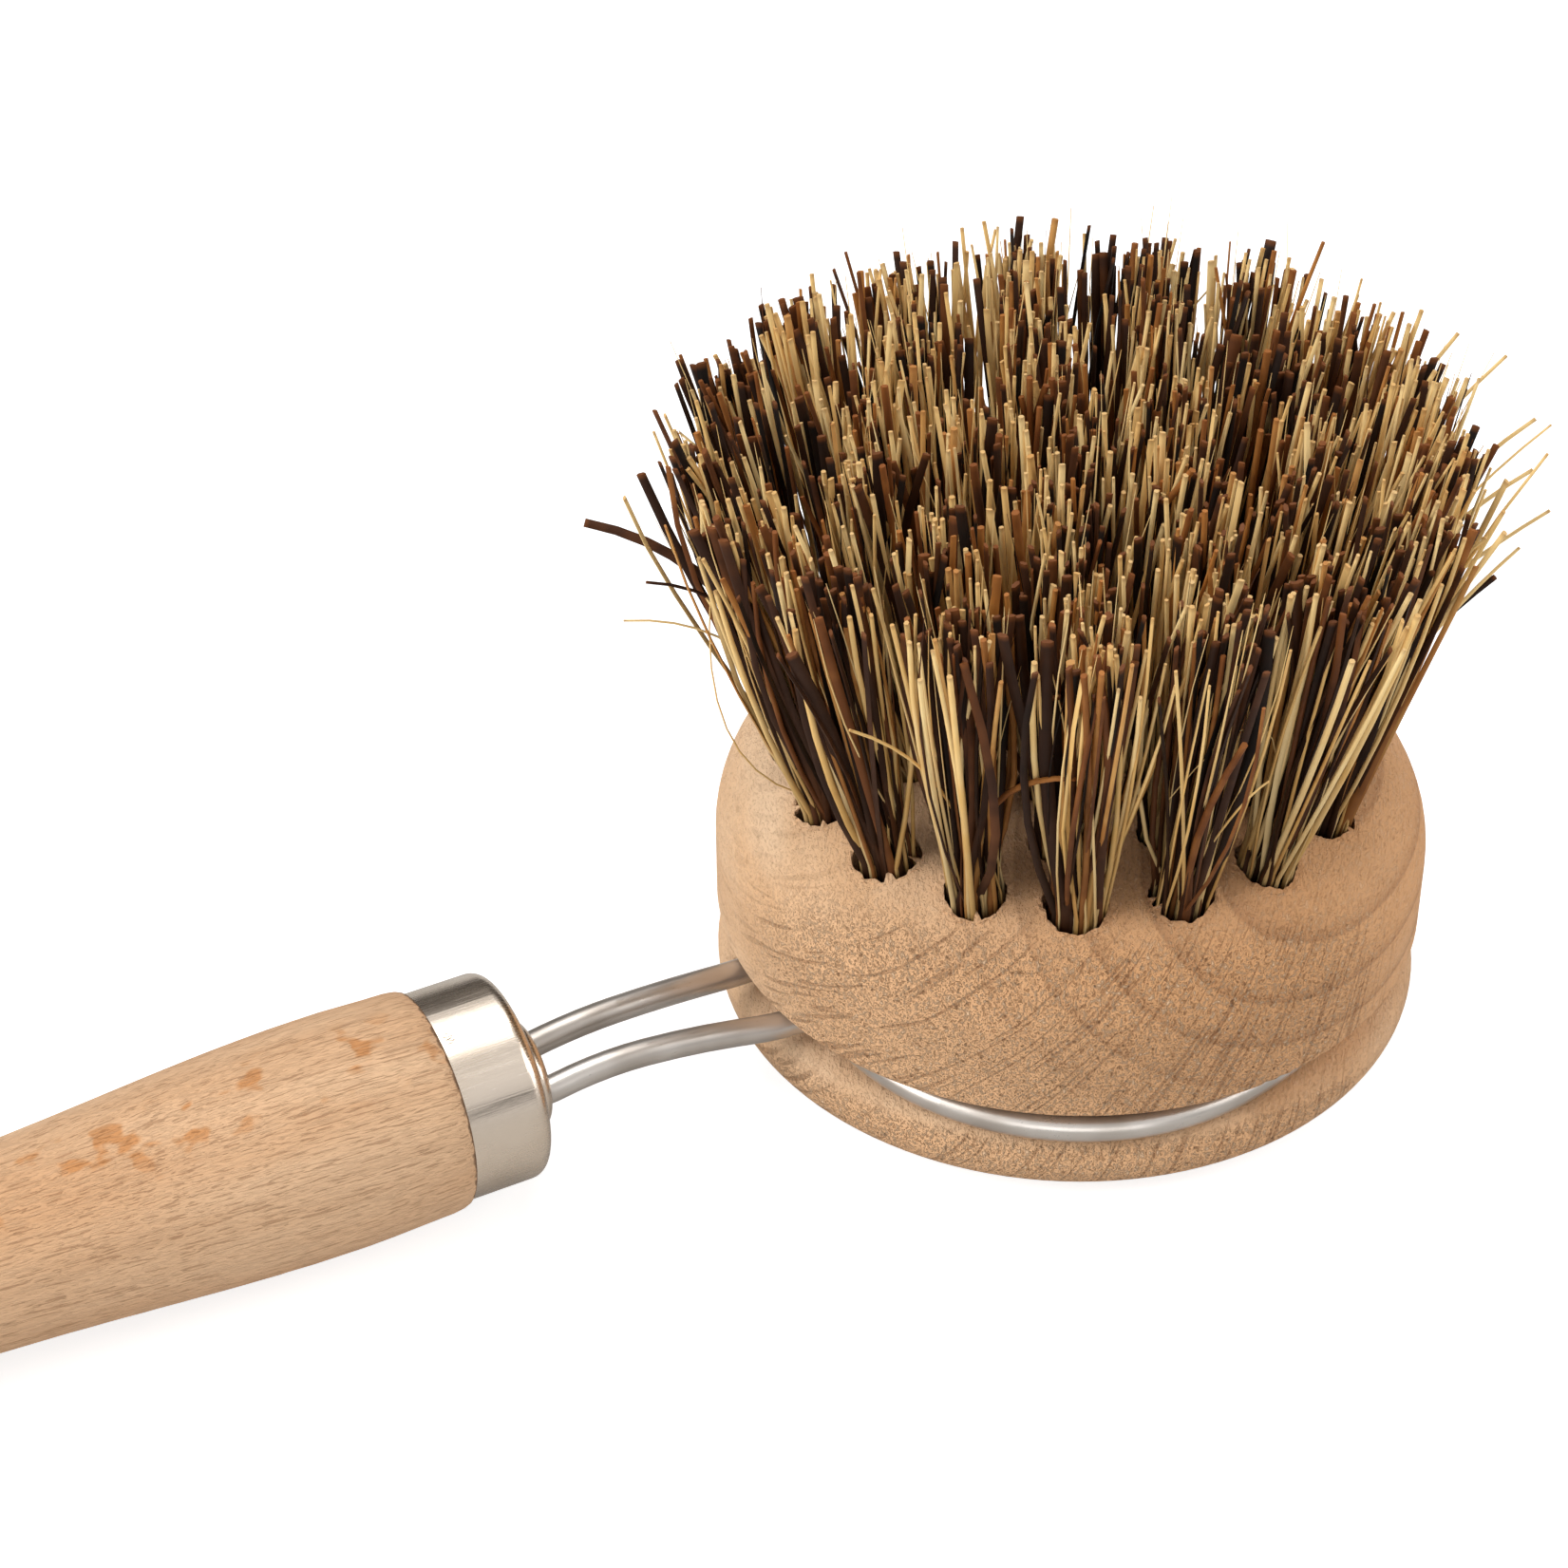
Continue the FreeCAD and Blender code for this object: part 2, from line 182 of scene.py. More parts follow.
def make_beech_grain():
    """Wood in a frame whose X is the fibre and whose origin is on the pith."""
    tree, given, result = new_group(
        "beech_grain",
        [("Position", "Vector"), ("Normal", "Vector"), ("Ring Width", "Float"), ("Ring Reach", "Float"),
         ("Ring Depth", "Float"), ("Ray Size", "Vector"), ("Ray Edge", "Float"), ("Ray Depth", "Float"),
         ("Fleck Size", "Vector"), ("Fleck Depth", "Float"), ("Pore Size", "Vector"), ("Pore Edge", "Float"),
         ("Pore Depth", "Float"), ("Pit Depth", "Float"), ("Wander", "Float"), ("Heart Reach", "Float"),
         ("Pale", "Color"), ("Warm", "Color"), ("End Tint", "Color"), ("Heart", "Color"), ("Dark", "Color"),
         ("Fleck", "Color")],
        [("Color", "Color"), ("Roughness", "Float"), ("Height", "Float")],
    )
    position = given["Position"]

    # Where a point lies round the pith, and which way the surface faces
    drift = place(tree, "TexNoise", {"Vector": stretch(tree, position, drift_size),
                                     "Scale": 1.0, "Detail": 2.0}).outputs["Color"]
    wander = enlarge(tree, reckon_vector(tree, "SUBTRACT", drift, (0.5, 0.5, 0.5)), given["Wander"])
    axes = place(tree, "SeparateXYZ", {0: reckon_vector(tree, "ADD", position, wander)}).outputs
    facing = place(tree, "SeparateXYZ", {0: given["Normal"]}).outputs
    radius = reckon(tree, "SQRT", reckon(tree, "ADD", reckon(tree, "POWER", axes["Y"], 2.0),
                                         reckon(tree, "POWER", axes["Z"], 2.0)))
    angle = reckon(tree, "ARCTAN2", axes["Z"], axes["Y"])
    end_grain = between(tree, reckon(tree, "ABSOLUTE", facing["X"]), 0.35, 0.85)
    rough_end = between(tree, end_grain, 0.0, 1.0, side_grain_share, 1.0)
    towards_bark = reckon(tree, "ADD", reckon(tree, "MULTIPLY", facing["Y"], axes["Y"]),
                          reckon(tree, "MULTIPLY", facing["Z"], axes["Z"]))
    bark_share = reckon(tree, "ABSOLUTE", reckon(tree, "DIVIDE", towards_bark, radius))
    quarter_cut = between(tree, bark_share, 0.12, 0.5, 1.0, 0.0)

    # Growth rings, which fade far from the pith
    year = reckon(tree, "FRACT", reckon(tree, "DIVIDE", radius, given["Ring Width"]))
    late = reckon(tree, "POWER", year, late_wood_power)
    ring = reckon(tree, "MULTIPLY", between(tree, year, 0.93, 1.0, 1.0, 0.0), late)
    ring_fade = between(tree, reckon(tree, "DIVIDE", radius, given["Ring Reach"]), 0.8, 1.2, 1.0, 0.15)
    ring = reckon(tree, "MULTIPLY", ring, ring_fade)

    # Rays: lines on the end grain, flecks where the cut runs along them
    fan = reckon(tree, "MULTIPLY", angle, fan_radius)
    ray_place = place(tree, "CombineXYZ", {"X": axes["X"], "Y": fan, "Z": radius}).outputs["Vector"]
    ray_noise = noise(tree, reckon_vector(tree, "DIVIDE", ray_place, given["Ray Size"]), detail=0.0)
    ray = between(tree, reckon(tree, "SUBTRACT", ray_noise, given["Ray Edge"]), 0.0, 0.06)
    ray = reckon(tree, "MULTIPLY", ray, between(tree, end_grain, 0.0, 0.6, 0.3, 1.0))
    fleck_noise = noise(tree, reckon_vector(tree, "DIVIDE", ray_place, given["Fleck Size"]), detail=2.0)
    fleck = reckon(tree, "MULTIPLY", between(tree, fleck_noise, 0.54, 0.62), quarter_cut)

    # Pores, raised crumbs, torn pits and a slow change of tone
    pore_place = reckon_vector(tree, "DIVIDE", position, given["Pore Size"])
    pore_noise = noise(tree, pore_place, detail=3.0, roughness=0.65)
    pore = between(tree, reckon(tree, "SUBTRACT", pore_noise, given["Pore Edge"]), 0.0, 0.09)
    crumb = reckon(tree, "MULTIPLY", between(tree, pore_noise, 0.5, 0.32), crumb_share)
    pit_noise = noise(tree, stretch(tree, position, pit_size), detail=1.0)
    pit = reckon(tree, "MULTIPLY", between(tree, pit_noise, 0.64, 0.78), given["Pit Depth"])
    cloud = noise(tree, stretch(tree, position, cloud_size), detail=3.0)
    mottle = between(tree, cloud, 0.3, 0.7)

    colour = blend_colours(tree, mottle, given["Pale"], given["Warm"])
    colour = blend_colours(tree, end_grain, colour, given["End Tint"])
    heart = between(tree, reckon(tree, "DIVIDE", radius, given["Heart Reach"]), 0.5, 1.0, 0.8, 0.0)
    colour = blend_colours(tree, heart, colour, given["Heart"])
    for mark, depth, tint in ((ring, "Ring Depth", "Dark"), (ray, "Ray Depth", "Dark"),
                              (fleck, "Fleck Depth", "Fleck")):
        colour = blend_colours(tree, reckon(tree, "MULTIPLY", mark, given[depth]), colour, given[tint])
    crumb_show = reckon(tree, "MULTIPLY", crumb, rough_end)
    colour = blend_colours(tree, crumb_show, colour, given["Pale"])
    pore_show = reckon(tree, "MULTIPLY", reckon(tree, "MULTIPLY", pore, given["Pore Depth"]), rough_end)
    pore_show = reckon(tree, "MINIMUM", pore_show, darkest_pore)
    colour = blend_colours(tree, pore_show, colour, given["Dark"])
    pit_show = reckon(tree, "MULTIPLY", pit, rough_end)
    colour = blend_colours(tree, pit_show, colour, pit_colour)
    feed(tree, colour, result["Color"])

    hollow = reckon(tree, "ADD", reckon(tree, "MULTIPLY", pore, 0.5), reckon(tree, "MULTIPLY", ray, 0.2))
    hollow = reckon(tree, "ADD", hollow, pit)
    height = reckon(tree, "SUBTRACT", crumb, hollow)
    feed(tree, reckon(tree, "MULTIPLY", height, rough_end), result["Height"])
    feed(tree, between(tree, pore_noise, 0.3, 0.7, 0.6, 0.85), result["Roughness"])
    return tree


beech_grain = make_beech_grain()


def make_beech(name, pith, turn, values, bump_strength, seam=None):
    """A beech material whose fibre and pith lie where the piece was cut from the plank.

    A depth that isn't among the values stays 0, which leaves that mark out.
    Where a seam is given, the wood is stained in an uneven line behind that place on X.
    """
    material, tree = new_material(name)
    coordinates = place(tree, "TexCoord").outputs
    grain = place(tree, "Group", node_tree=beech_grain)
    for source, origin, label in (("Object", pith, "Position"), ("Normal", (0, 0, 0), "Normal")):
        mapping = place(tree, "Mapping", {"Vector": coordinates[source], "Location": origin,
                                          "Rotation": turn}, vector_type="TEXTURE")
        feed(tree, mapping.outputs["Vector"], grain.inputs[label])
    for label, value in values.items():
        feed(tree, value, grain.inputs[label])
    colour = grain.outputs["Color"]
    if seam is not None:
        where = place(tree, "SeparateXYZ", {0: coordinates["Object"]}).outputs["X"]
        behind = reckon(tree, "SUBTRACT", seam, where)
        uneven = noise(tree, stretch(tree, coordinates["Object"], seam_crumb), detail=3.0)
        reach = between(tree, uneven, 0.3, 0.75, *seam_reach)
        stain = between(tree, reckon(tree, "DIVIDE", behind, reach), 0.4, 1.0, 0.75, 0.0)
        colour = blend_colours(tree, stain, colour, seam_stain)
    finish_material(tree, {"Base Color": colour, "Roughness": grain.outputs["Roughness"],
                           "Specular IOR Level": 0.25},
                    grain.outputs["Height"], bump_strength, wood_relief)
    return material


beech_head = make_beech(
    "beech_head",
    pith=(22 * mm, -11.5 * mm, 39 * mm),
    turn=(0.0, 0.0, math.radians(57.4)),
    values={"Ring Width": 3.4 * mm, "Ring Reach": 36 * mm, "Ring Depth": 0.52,
            "Ray Size": (3.0 * mm, 0.18 * mm, 22 * mm), "Ray Edge": 0.64, "Ray Depth": 0.4,
            "Pore Size": (0.6 * mm, 0.27 * mm, 0.27 * mm), "Pore Edge": 0.56, "Pore Depth": 0.42,
            "Pit Depth": 0.5, "Wander": 1.8 * mm, "Heart Reach": 48 * mm,
            "Pale": shade(238, 203, 166), "Warm": shade(227, 183, 140), "End Tint": shade(231, 183, 138),
            "Heart": shade(216, 158, 106), "Dark": shade(118, 70, 38)},
    bump_strength=1.0,
)
beech_handle = make_beech(
    "beech_handle",
    pith=(0.0, 46.5 * mm, 25.2 * mm),
    turn=(0.0, math.radians(1.5), math.radians(-1.0)),
    values={"Ring Width": 3.2 * mm, "Ring Reach": 200 * mm, "Ring Depth": 0.12,
            "Ray Size": (3.2 * mm, 0.09 * mm, 0.7 * mm), "Ray Edge": 0.62, "Ray Depth": 0.16,
            "Fleck Size": (2.6 * mm, 0.7 * mm, 2.2 * mm), "Fleck Depth": 0.85,
            "Pore Size": (3.3 * mm, 0.16 * mm, 0.16 * mm), "Pore Edge": 0.55, "Pore Depth": 1.6,
            "Wander": 1.0 * mm, "Heart Reach": 10 * mm,
            "Pale": shade(227, 188, 150), "Warm": shade(210, 164, 123), "End Tint": shade(206, 158, 115),
            "Heart": shade(206, 150, 100), "Dark": shade(120, 75, 42), "Fleck": shade(198, 135, 80)},
    bump_strength=0.85,
    seam=ferrule_back,
)


# Metal: fine lines drawn along the length

line_stretch = 40.0                 # length of a drawn line over its width
dulling_size = (5 * mm, 5 * mm, 5 * mm)
line_relief = 0.02 * mm
nick_grain = (0.6 * mm, 0.14 * mm, 0.14 * mm)
nick_depth = 1.5                    # against the drawn lines
nick_colour = shade(92, 80, 70)


def make_draw_lines():
    """Fine lines along X, and a slow dulling."""
    tree, given, result = new_group(
        "draw_lines",
        [("Position", "Vector"), ("Line Width", "Float"), ("Smooth", "Float"), ("Dull", "Float")],
        [("Roughness", "Float"), ("Height", "Float"), ("Tarnish", "Float")],
    )
    drawn_out = stretch(tree, given["Position"], (line_stretch, 1.0, 1.0))
    scaled = enlarge(tree, drawn_out, reckon(tree, "DIVIDE", 1.0, given["Line Width"]))
    line = noise(tree, scaled, detail=3.0, roughness=0.7)
    cloud = noise(tree, stretch(tree, given["Position"], dulling_size), detail=2.0)
    mixed = reckon(tree, "ADD", reckon(tree, "MULTIPLY", line, 0.6), reckon(tree, "MULTIPLY", cloud, 0.4))
    reach = place(tree, "MapRange", {"Value": mixed, "From Min": 0.3, "From Max": 0.7,
                                     "To Min": given["Smooth"], "To Max": given["Dull"]})
    feed(tree, reach.outputs["Result"], result["Roughness"])
    feed(tree, line, result["Height"])
    feed(tree, between(tree, cloud, 0.35, 0.75), result["Tarnish"])
    return tree


draw_lines = make_draw_lines()


def make_metal(name, clean, tarnished, line_width, smooth, dull, bump_strength, bare=1.0, nick=None):
    """A drawn metal with its own colours and gloss, and a small nick where a place is given."""
    material, tree = new_material(name)
    coordinates = place(tree, "TexCoord").outputs["Object"]
    lines = place(tree, "Group", {"Position": coordinates, "Line Width": line_width, "Smooth": smooth,
                                  "Dull": dull}, node_tree=draw_lines)
    colour = blend_colours(tree, lines.outputs["Tarnish"], clean, tarnished)
    height = lines.outputs["Height"]
    if nick is not None:
        away = place(tree, "VectorMath", {0: coordinates, 1: nick}, operation="DISTANCE").outputs["Value"]
        torn = noise(tree, stretch(tree, coordinates, nick_grain), detail=2.0)
        near = between(tree, away, 0.3 * mm, 0.62 * mm, 1.0, 0.0)
        mark = reckon(tree, "MULTIPLY", near, between(tree, torn, 0.48, 0.6))
        colour = blend_colours(tree, mark, colour, nick_colour)
        height = reckon(tree, "SUBTRACT", height, reckon(tree, "MULTIPLY", mark, nick_depth))
    finish_material(tree, {"Base Color": colour, "Metallic": bare, "Roughness": lines.outputs["Roughness"]},
                    height, bump_strength, line_relief)
    return material


nickel_ferrule = make_metal(
    "nickel_ferrule", clean=shade(226, 211, 195), tarnished=shade(212, 196, 178), line_width=0.12 * mm,
    smooth=0.15, dull=0.34, bump_strength=0.36, nick=(-48.7 * mm, -2.3 * mm, 13.8 * mm),
)
stainless_wire = make_metal(
    "stainless_wire", clean=shade(206, 199, 192), tarnished=shade(178, 169, 160), line_width=0.1 * mm,
    smooth=0.24, dull=0.42, bump_strength=0.1, bare=0.82,
)
steel_anchor = make_metal(
    "steel_anchor", clean=shade(170, 165, 160), tarnished=shade(130, 124, 118), line_width=0.1 * mm,
    smooth=0.3, dull=0.5, bump_strength=0.1,
)


# Plant fibre: a colour for each fibre from its own attribute, streaked along its length

# From the palest fibre's tone to the darkest one's
fibre_colours = (
    (0.0, shade(250, 219, 158)), (0.25, shade(232, 184, 108)), (0.45, shade(184, 122, 60)),
    (0.62, shade(118, 68, 31)), (0.8, shade(58, 32, 17)), (1.0, shade(20, 13, 9)),
)
# Painted shade and dirt: the colour the fibres darken to near their roots, standing in for the shade inside
# the dense tufts
root_shade_and_dirt_colour = shade(56, 32, 16)
# Painted highlight: the colour the pale fibres lighten to towards their tips
tip_highlight_colour = shade(255, 224, 158)
cut_end_colour = shade(150, 88, 44)
streak_step = 900.0                 # sets each fibre's streaks far from those of the next tone
streaks_along = 5.0
fibre_relief = 0.1 * mm


def make_plant_fibre():
    """Painted shade and dirt darken the fibre from the root up, a painted highlight lightens it towards the
    tip where the fibre is pale, and the cut end is brown.
    """
    material, tree = new_material("plant_fibre")
    tone = place(tree, "Attribute", attribute_name="tone").outputs["Fac"]
    along = place(tree, "Attribute", attribute_name="along").outputs["Fac"]
    streak_place = place(tree, "CombineXYZ", {"X": reckon(tree, "MULTIPLY", tone, streak_step),
                                              "Y": reckon(tree, "MULTIPLY", along, streaks_along)})
    streak = noise(tree, streak_place.outputs["Vector"], detail=3.0, roughness=0.6)
    shifted = reckon(tree, "ADD", tone, between(tree, streak, 0.3, 0.7, -0.07, 0.07))
    ramp = place(tree, "ValToRGB", {"Fac": shifted})
    band = ramp.color_ramp
    while len(band.elements) < len(fibre_colours):
        band.elements.new(0.5)
    for element, (where, colour) in zip(band.elements, fibre_colours):
        element.position = where
        element.color = colour
    # Painted shade and dirt, darkest at the root and fading out most of the way up the fibre
    root_shade_and_dirt = between(tree, along, 0.15, 0.85, 0.52, 0.0)
    colour = blend_colours(tree, root_shade_and_dirt, ramp.outputs["Color"], root_shade_and_dirt_colour)
    # Painted highlight towards the tips of the pale fibres
    near_tip = between(tree, along, 0.6, 0.95, 0.0, 0.35)
    tip_highlight = reckon(tree, "MULTIPLY", near_tip, between(tree, tone, 0.2, 0.5, 1.0, 0.0))
    colour = blend_colours(tree, tip_highlight, colour, tip_highlight_colour)
    cut_end = between(tree, along, 0.985, 0.999, 0.0, 0.4)
    colour = blend_colours(tree, cut_end, colour, cut_end_colour)
    finish_material(tree, {"Base Color": colour, "Roughness": between(tree, streak, 0.3, 0.7, 0.5, 0.7),
                           "Specular IOR Level": 0.2}, streak, 0.2, fibre_relief)
    return material


plant_fibre = make_plant_fibre()


# Drawing fibres

# Where a fibre's points lie on its length: its root, the hole's mouth, and on to the tip
mouth_share = 0.27
strand_share = (0.0, mouth_share, 0.42, 0.57, 0.72, 0.86, 1.0)
loose_share = (0.0,) + tuple(mouth_share + 0.73 * step / 10 for step in range(11))
strand_sides = 6
taper_start = 0.7                   # share of the length from which a fibre narrows to its tip
taper_length = 0.3
smooth_angle = math.radians(75)


def deselect_all():
    """Leaves nothing selected for the next operator."""
    bpy.ops.object.select_all(action="DESELECT")


def make_section(name, flatness):
    """The outline that a strand is drawn through, of radius 1, scaled by each point's radius."""
    outline = bpy.data.curves.new(name, "CURVE")
    outline.dimensions = "2D"
    spline = outline.splines.new("POLY")
    spline.points.add(strand_sides - 1)
    for index, point in enumerate(spline.points):
        angle = 2 * math.pi * index / strand_sides
        point.co = (math.cos(angle), flatness * math.sin(angle), 0.0, 1.0)
    spline.use_cyclic_u = True
    section = bpy.data.objects.new(name, outline)
    bpy.context.scene.collection.objects.link(section)
    return section


round_section = make_section("round_section", 0.85)
flat_section = make_section("flat_section", 0.45)


def draw_strands(name, section, strands):
    """A mesh of strands through one section, with each strand's tone and its share of the length."""
    drawing = bpy.data.curves.new(name, "CURVE")
    drawing.dimensions = "3D"
    drawing.bevel_mode = "OBJECT"
    drawing.bevel_object = section
    for strand in strands:
        spline = drawing.splines.new("POLY")
        spline.points.add(len(strand.points) - 1)
        for point, place_at, share in zip(spline.points, strand.points, strand.shares):
            point.co = (*place_at, 1.0)
            thin = max(0.0, share - taper_start) / taper_length
            point.radius = strand.half_width * (1 + (strand.tip_width - 1) * thin)
            point.tilt = strand.turn
    piece = bpy.data.objects.new(name, drawing)
    bpy.context.scene.collection.objects.link(piece)
    deselect_all()
    piece.select_set(True)
    bpy.context.view_layer.objects.active = piece
    bpy.ops.object.convert(target="MESH")
    piece = bpy.context.view_layer.objects.active
    tones = []
    shares = []
    for strand in strands:
        tones += [strand.tone] * (len(strand.points) * strand_sides)
        shares += [share for share in strand.shares for side in range(strand_sides)]
    mesh = piece.data
    mesh.attributes.new("tone", "FLOAT", "POINT").data.foreach_set("value", tones)
    mesh.attributes.new("along", "FLOAT", "POINT").data.foreach_set("value", shares)
    bpy.ops.object.mode_set(mode="EDIT")
    bpy.ops.mesh.select_all(action="SELECT")
    bpy.ops.mesh.fill_holes(sides=strand_sides)
    bpy.ops.mesh.normals_make_consistent(inside=False)
    bpy.ops.object.mode_set(mode="OBJECT")
    bpy.ops.object.shade_smooth_by_angle(angle=smooth_angle)
    return piece


def join(pieces, name):
    """Joins several pieces into one."""
    deselect_all()
    for piece in pieces:
        piece.select_set(True)
    bpy.context.view_layer.objects.active = pieces[0]
    bpy.ops.object.join()
    pieces[0].name = name
    pieces[0].data.name = name
    return pieces[0]


def draw_bundle(name, strands):
    """One mesh of round and flat strands, which turns with the head."""
    pieces = []
    for section, is_flat in ((round_section, False), (flat_section, True)):
        chosen = [strand for strand in strands if strand.flat == is_flat]
        if chosen:
            pieces.append(draw_strands("strands", section, chosen))
    piece = join(pieces, name)
    piece.data.materials.clear()
    piece.data.materials.append(plant_fibre)
    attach(piece, "head")
    return piece


# Kinds of fibre: shares of a tuft, tones, and least, most and usual half widths in millimetres

crossing_share = 0.09               # hairs that lie across the others
hair_share = 0.18
brown_share = 0.15
hair_widths = (0.05, 0.11)
hair_lengthening = (-5.0, 4.0)      # in millimetres
hair_tip_width = 0.3
dark_hair_odds = 0.2
dark_hair_tones = (0.7, 1.0)
pale_hair_tones = (0.0, 0.25)
dark_widths = (0.18, 0.48, 0.28)
dark_tones = (0.72, 1.0)
brown_widths = (0.12, 0.36, 0.2)
brown_tones = (0.36, 0.72)
flat_brown_odds = 0.4
pale_widths = (0.08, 0.32, 0.15)
pale_tones = (0.0, 0.3)
flat_pale_width = 0.24 * mm


class Strand:
    """One fibre's kind, picked by chance: pale, brown, dark and flat, or a fine hair."""

    def __init__(self, dark_share):
        pick = random.random()
        self.extra = 0.0
        self.shares = strand_share
        self.tip_width = 0.9
        self.flat = False
        self.crossing = pick < crossing_share
        if pick < hair_share:
            self.half_width = random.uniform(*hair_widths) * mm
            tones = dark_hair_tones if random.random() < dark_hair_odds else pale_hair_tones
            self.tone = random.uniform(*tones)
            self.extra = random.uniform(*hair_lengthening) * mm
            self.tip_width = hair_tip_width
        elif pick < hair_share + dark_share:
            self.half_width = random.triangular(*dark_widths) * mm
            self.tone = random.uniform(*dark_tones)
            self.flat = True
        elif pick < hair_share + brown_share + dark_share:
            self.half_width = random.triangular(*brown_widths) * mm
            self.tone = random.uniform(*brown_tones)
            self.flat = random.random() < flat_brown_odds
        else:
            self.half_width = random.triangular(*pale_widths) * mm
            self.tone = random.uniform(*pale_tones)
            self.flat = self.half_width > flat_pale_width
        self.turn = random.uniform(0, math.pi)


# Tufts

strands_in_tuft = 98
visible_length = trim_level - face_level
buried_length = 8.5 * mm
turn_between_strands = 2.39996      # fills a round bundle evenly
turn_scatter = 0.5
dark_shares = (0.14, 0.5, 0.26)     # least, most and usual share of dark fibres in a tuft
tip_spreads = (1.45, 1.9)           # a tuft's width at its tips over that at its root
spread_scatter = 0.2
stray_spread = 1.1 * mm
calm_odds = 0.82
calm_stray = 0.85
wild_stray = 2.0
crossing_reach = (-2.4, 0.6)
crossing_stray = 1.5
length_offset = -0.3 * mm
length_scatter = 1.1 * mm
broken_odds = 0.05
broken_by = (1.5, 6)                # in millimetres
openings = (0.9, 1.5)               # how early a fibre leaves the bundle
curl_spread = 0.5 * mm
strong_curl_odds = 0.08
strong_curl = 2.2
pressed_angle = math.radians(152)
pressed_side = Vector((math.cos(pressed_angle), math.sin(pressed_angle), 0.0))
pressed_lean = 1.8 * mm


class Hole:
    """Where one hole opens and which way it leans."""

    def __init__(self, ring, angle):
        lean = lean_step * ring
        out = Vector((math.cos(angle), math.sin(angle), 0.0))
        self.across = Vector((-math.sin(angle), math.cos(angle), 0.0))
        self.axis = out * math.sin(lean) + Vector((0, 0, math.cos(lean)))
        self.side = out * math.cos(lean) - Vector((0, 0, math.sin(lean)))
        self.mouth = out * (tuft_ring_step * ring) + Vector((0, 0, face_level))
        self.length = visible_length / math.cos(lean)


def chance(spread):
    """A chance offset, never more than twice its spread."""
    return max(-2 * spread, min(2 * spread, random.gauss(0, spread)))


def make_tuft(node, hole):
    """Fibres from one hole, spread to the trimmed top; the tufts beside the handle are pressed outwards."""
    side, across, axis, mouth = hole.side, hole.across, hole.axis, hole.mouth
    dark_share = random.triangular(*dark_shares)
    pressed = max(0.0, mouth.dot(pressed_side)) / (len(tuft_ring_counts) * tuft_ring_step)
    lean_out = side * (pressed_lean * pressed ** 3)
    spread = random.uniform(*tip_spreads)
    strands = []
    for index in range(strands_in_tuft):
        strand = Strand(dark_share)
        reach = math.sqrt((index + 0.5) / strands_in_tuft)
        spin = index * turn_between_strands + random.uniform(-turn_scatter, turn_scatter)
        root_reach = reach * (tuft_root_radius - strand.half_width)
        root = side * (root_reach * math.cos(spin)) + across * (root_reach * math.sin(spin))
        loose = calm_stray if random.random() < calm_odds else wild_stray
        stray = side * chance(stray_spread) + across * chance(stray_spread)
        tip = root * random.gauss(spread, spread_scatter) + stray * loose + lean_out
        if strand.crossing:
            tip = root * random.uniform(*crossing_reach) + stray * crossing_stray
        height = hole.length + random.gauss(length_offset, length_scatter) + strand.extra
        if random.random() < broken_odds:
            height -= random.uniform(*broken_by) * mm
        opening = random.uniform(*openings)
        curl = side * random.gauss(0, curl_spread) + across * random.gauss(0, curl_spread)
        if random.random() < strong_curl_odds:
            curl = curl * strong_curl
        strand.points = []
        for share in strand_share:
            grown = max(0.0, (share - mouth_share) / (1 - mouth_share))
            rise = grown * height
            if share < mouth_share:
                rise = (share / mouth_share - 1) * buried_length
            lateral = root + (tip - root) * (1 - (1 - grown) ** opening)
            lateral = lateral + curl * (4 * grown * (1 - grown))
            strand.points.append(mouth + axis * rise + lateral)
        strands.append(strand)
    tuft = draw_bundle("fibres_of_" + node, strands)
    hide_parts(node)


holes = {"tuft_centre": Hole(0, 0.0)}
for ring, count in enumerate(tuft_ring_counts, start=1):
    for number in range(count):
        angle = first_tuft_angle + 2 * math.pi * number / count
        holes[f"tuft_ring_{ring}_{number + 1:02d}"] = Hole(ring, angle)

for node, hole in holes.items():
    make_tuft(node, hole)


# Fibres that have worked loose from the outer ring

def spot(angle, distance, height):
    """A place given by its angle in degrees, and its distance and height in millimetres."""
    turn = math.radians(angle)
    return Vector((distance * math.cos(turn), distance * math.sin(turn), height)) * mm


def loose_fibre(number, bend, tip, half_width, tone, flat=False):
    """A fibre from one hole of the outer ring, bent over to its tip."""
    hole = holes[f"tuft_ring_3_{number:02d}"]
    strand = Strand(0.0)
    strand.shares = loose_share
    strand.half_width = half_width * mm
    strand.tone = tone
    strand.flat = flat
    strand.tip_width = 0.8
    strand.turn = math.pi / 2
    middle = spot(*bend)
    end = spot(*tip)
    strand.points = [hole.mouth - hole.axis * buried_length]
    for share in loose_share[1:]:
        grown = (share - mouth_share) / (1 - mouth_share)
        early = hole.mouth * (1 - grown) + middle * grown
        late = middle * (1 - grown) + end * grown
        strand.points.append(early * (1 - grown) + late * grown)
    return strand


